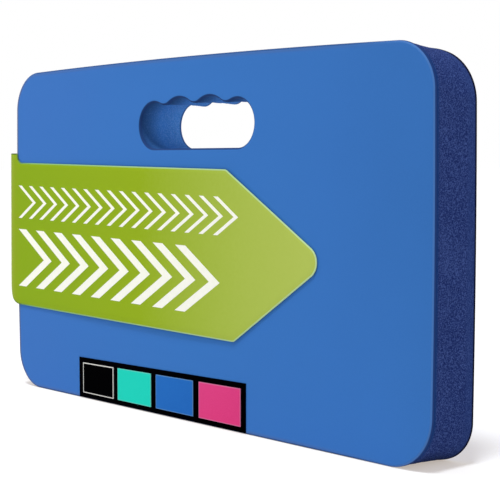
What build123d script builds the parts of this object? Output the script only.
from build123d import *
import math
import os

# Foam kneeling pad that stands on its long edge, with a retail card wrapped round its left end.
# Millimetres. X runs along the pad, Y through its thickness (front face towards -Y), Z up.
# The origin is the middle of the edge that the pad stands on.

# ---- foam pad
PAD_LENGTH = 432.0
PAD_HEIGHT = 250.0
PAD_THICKNESS = 39.0
PAD_CORNER_RADIUS = 32.0
TOP_CROWN = 2.7  # the long top edge bows up by this much at its middle
SKIN_THICKNESS = 2.0  # smooth dense skin on each face of the foam
SKIN_RIM_RADIUS = 1.0  # rounded outer rim of each skin

# ---- hand slot through the pad, with finger grips along its upper side
SLOT_CENTRE_X = 4.2
SLOT_LENGTH = 121.0
SLOT_END_RADIUS = 17.4  # round ends, whose tops are also the two outer finger grips
SLOT_WEB = 26.6  # foam left above the round ends, up to the pad's straight height
GRIP_RADIUS = 22.0  # the two middle finger grips
GRIP_PITCH = 32.0
GRIP_RISE = 2.5  # how far the middle grips rise past the outer ones
GRIP_POINT_RADIUS = 10.0  # rounding of the points between the grips

# ---- card wrap: arrow panel in front, bend round the left end, flap behind
CARD_THICKNESS = 0.6
CARD_CLEARANCE = 0.3  # between the card and either face of the pad
CARD_HEIGHT = 114.6  # of the arrow panel
CARD_FOOT_Z = 65.2  # lower edge of the arrow panel at the pad's left end
CARD_TILT = 1.0  # degrees, the arrow points slightly down
CARD_STRAIGHT = 3.3  # straight run of the card past the pad's end, before it bends back
UPPER_SHOULDER_REACH = 253.8  # from the pad's left end to the arrow's upper shoulder
LOWER_SHOULDER_REACH = 263.3
ARROW_REACH = 348.4  # to the tip, before it is rounded
ARROW_TIP_RISE = 1.7  # the tip lies this much above the panel's centre line
SHOULDER_RADIUS = 5.0
ARROW_TIP_RADIUS = 10.5
FOOT_CORNER_RADIUS = 17.5  # the panel's lower corner, which ends part of the way round the bend
FOOT_CORNER_TURN = 31.0  # degrees of the bend that the corner takes
SWEEP_RADIUS = 7.2  # quarter round where the panel's top edge climbs to the level of the bend's
SWEEP_CORNER_RADIUS = 1.2  # rounded corner at the top of that climb
FLAP_REACH = 112.0  # the hidden flap, from the pad's left end
FLAP_CORNER_RADIUS = 12.0

# ---- colour strip on the front face, with four foam chips
STRIP_REACH = 84.2  # from the pad's left end to the strip
STRIP_FOOT_Z = 0.8
STRIP_THICKNESS = 0.4
CHIP_WIDTHS = {"black": 39.7, "teal": 41.9, "blue": 43.4, "pink": 44.2}
CHIP_HEIGHT = 25.2
CHIP_THICKNESS = 0.5
CHIP_GAP = 3.8
STRIP_SIDE_BORDER = 3.9
STRIP_FAR_BORDER = 5.0
STRIP_EDGE_BORDER = 3.1  # above and below the chips
OUTLINE_WIDTH = 1.1  # pale line round the black chip, cut out of the chip's own width

# ---- worked out from the sizes above
FRONT_Y = -PAD_THICKNESS / 2
BACK_Y = PAD_THICKNESS / 2
LEFT_X = -PAD_LENGTH / 2
SLOT_MIDDLE_Z = PAD_HEIGHT - SLOT_WEB - SLOT_END_RADIUS
CARD_INNER = PAD_THICKNESS / 2 + CARD_CLEARANCE
CARD_OUTER = CARD_INNER + CARD_THICKNESS
CARD_HALF = CARD_HEIGHT / 2
BEND_FOOT = FOOT_CORNER_RADIUS - CARD_HALF  # lower edge of the bend and the flap, from the card's middle
BEND_TOP = CARD_HALF + SWEEP_RADIUS  # upper edge of the bend and the flap
STRIP_LEFT_X = LEFT_X + STRIP_REACH


def upright(profile, y_front, y_back):
    """A flat profile drawn in X and Z, made solid between two Y values."""
    return Pos(0, y_back, 0) * extrude(Plane.XZ * profile, y_back - y_front)


def flat_piece(left, foot, width, height):
    return Pos(left + width / 2, foot + height / 2) * Rectangle(width, height)


# ---- foam pad
def pad_outline():
    half = PAD_LENGTH / 2
    edges = [
        Line((half, PAD_HEIGHT), (half, 0)),
        Line((half, 0), (-half, 0)),
        Line((-half, 0), (-half, PAD_HEIGHT)),
        ThreePointArc((-half, PAD_HEIGHT), (0, PAD_HEIGHT + TOP_CROWN), (half, PAD_HEIGHT)),
    ]
    outline = make_face(edges)
    return fillet(outline.vertices(), PAD_CORNER_RADIUS)


def hand_slot():
    run = SLOT_LENGTH - 2 * SLOT_END_RADIUS
    ends = [Pos(side * run / 2, 0) * Circle(SLOT_END_RADIUS) for side in (-1, 1)]
    lower_half = Pos(0, -SLOT_END_RADIUS / 2) * Rectangle(run, SLOT_END_RADIUS)
    grip_centre = SLOT_END_RADIUS + GRIP_RISE - GRIP_RADIUS
    grips = [Pos(side * GRIP_PITCH / 2, grip_centre) * Circle(GRIP_RADIUS) for side in (-1, 1)]
    upper_half = Pos(0, GRIP_RADIUS / 2) * Rectangle(SLOT_LENGTH, GRIP_RADIUS)
    slot = Sketch() + ends + lower_half + [grip & upper_half for grip in grips]
    points = slot.vertices().filter_by(lambda v: v.Y > SLOT_END_RADIUS / 2)
    return Pos(SLOT_CENTRE_X, SLOT_MIDDLE_Z) * fillet(points, GRIP_POINT_RADIUS)


def foam_core(profile):
    return upright(profile, FRONT_Y + SKIN_THICKNESS, BACK_Y - SKIN_THICKNESS)


def front_skin(profile):
    skin = upright(profile, FRONT_Y, FRONT_Y + SKIN_THICKNESS)
    return fillet(skin.faces().sort_by(Axis.Y)[0].edges(), SKIN_RIM_RADIUS)


def back_skin(profile):
    skin = upright(profile, BACK_Y - SKIN_THICKNESS, BACK_Y)
    return fillet(skin.faces().sort_by(Axis.Y)[-1].edges(), SKIN_RIM_RADIUS)


# ---- card wrap, drawn level with its origin on the pad's left end and on the arrow's centre line
def arrow_outline():
    """The front panel, up to where its lower corner ends in the bend."""
    far = -CARD_STRAIGHT - CARD_OUTER * math.sin(math.radians(FOOT_CORNER_TURN))
    edges = [
        Line((far, BEND_TOP), (0, BEND_TOP)),
        CenterArc((SWEEP_RADIUS, BEND_TOP), SWEEP_RADIUS, 180, 90),
        Polyline(
            (SWEEP_RADIUS, CARD_HALF),
            (UPPER_SHOULDER_REACH, CARD_HALF),
            (ARROW_REACH, ARROW_TIP_RISE),
            (LOWER_SHOULDER_REACH, -CARD_HALF),
            (far + FOOT_CORNER_RADIUS, -CARD_HALF),
        ),
        CenterArc((far + FOOT_CORNER_RADIUS, BEND_FOOT), FOOT_CORNER_RADIUS, 180, 90),
        Line((far, BEND_FOOT), (far, BEND_TOP)),
    ]
    arrow = make_face(edges)
    arrow = round_corners(arrow, [(ARROW_REACH, ARROW_TIP_RISE)], ARROW_TIP_RADIUS)
    shoulders = [(UPPER_SHOULDER_REACH, CARD_HALF), (LOWER_SHOULDER_REACH, -CARD_HALF)]
    arrow = round_corners(arrow, shoulders, SHOULDER_RADIUS)
    return round_corners(arrow, [(0, BEND_TOP)], SWEEP_CORNER_RADIUS)


def round_corners(face, corners, radius):
    """Fillets the vertices of a flat face that lie at the given corners."""
    chosen = [face.vertices().sort_by_distance(corner)[0] for corner in corners]
    return fillet(chosen, radius)


def bend_outline():
    """The bend seen from the left end, drawn in Y and Z."""
    return flat_piece(-CARD_OUTER, BEND_FOOT, 2 * CARD_OUTER, BEND_TOP - BEND_FOOT)


def flap_outline():
    flap = flat_piece(-CARD_STRAIGHT, BEND_FOOT, FLAP_REACH + CARD_STRAIGHT, BEND_TOP - BEND_FOOT)
    return fillet(flap.vertices().group_by(Axis.X)[-1], FLAP_CORNER_RADIUS)


def card_plan(radius):
    """One face of the card seen from above: two straight runs and the half-round bend, filled in."""
    run = CARD_STRAIGHT + ARROW_REACH
    bend = Pos(-CARD_STRAIGHT, 0) * Circle(radius)
    return bend + Pos(ARROW_REACH - run / 2, 0) * Rectangle(run, 2 * radius)


def card_wall():
    plan = card_plan(CARD_OUTER) - card_plan(CARD_INNER)
    return Pos(0, 0, -CARD_HEIGHT) * extrude(plan, 2 * CARD_HEIGHT)


def label_card():
    wall = card_wall()
    arrow = wall & upright(arrow_outline(), -2 * CARD_OUTER, 0)
    bend = wall & (Pos(-CARD_STRAIGHT, 0, 0) * extrude(Plane.YZ * bend_outline(), -2 * CARD_OUTER))
    flap = wall & upright(flap_outline(), 0, 2 * CARD_OUTER)
    return Pos(LEFT_X, 0, CARD_FOOT_Z + CARD_HALF) * Rot(0, CARD_TILT, 0) * (arrow + bend + flap)


# ---- colour strip
def chip_places():
    """Left edge of each chip."""
    places, x = {}, STRIP_LEFT_X + STRIP_SIDE_BORDER
    for colour, width in CHIP_WIDTHS.items():
        places[colour] = x
        x += width + CHIP_GAP
    return places


def strip_length():
    widths = CHIP_WIDTHS.values()
    return STRIP_SIDE_BORDER + sum(widths) + CHIP_GAP * (len(widths) - 1) + STRIP_FAR_BORDER


def colour_strip():
    height = CHIP_HEIGHT + 2 * STRIP_EDGE_BORDER
    backing = flat_piece(STRIP_LEFT_X, STRIP_FOOT_Z, strip_length(), height)
    return upright(backing, FRONT_Y - STRIP_THICKNESS, FRONT_Y)


def on_strip(profile):
    face_y = FRONT_Y - STRIP_THICKNESS
    return upright(profile, face_y - CHIP_THICKNESS, face_y)


def chip(colour, inset=0.0):
    """One chip's outline, drawn in by an inset on all four sides."""
    left = chip_places()[colour] + inset
    foot = STRIP_FOOT_Z + STRIP_EDGE_BORDER + inset
    return flat_piece(left, foot, CHIP_WIDTHS[colour] - 2 * inset, CHIP_HEIGHT - 2 * inset)


def chip_pieces():
    pieces = {"chip_" + colour: on_strip(chip(colour)) for colour in CHIP_WIDTHS if colour != "black"}
    pieces["chip_black"] = on_strip(chip("black", OUTLINE_WIDTH))
    pieces["chip_outline"] = on_strip(chip("black") - chip("black", OUTLINE_WIDTH))
    return pieces


# ---- the whole part, one STEP file for each piece
def build():
    profile = pad_outline() - hand_slot()
    return {
        "foam_core": foam_core(profile),
        "front_skin": front_skin(profile),
        "back_skin": back_skin(profile),
        "label_card": label_card(),
        "colour_strip": colour_strip(),
        **chip_pieces(),
    }


os.makedirs("parts", exist_ok=True)
for name, piece in build().items():
    export_step(piece, f"parts/{name}.step")
    print(name, f"{piece.volume:.0f} mm3")
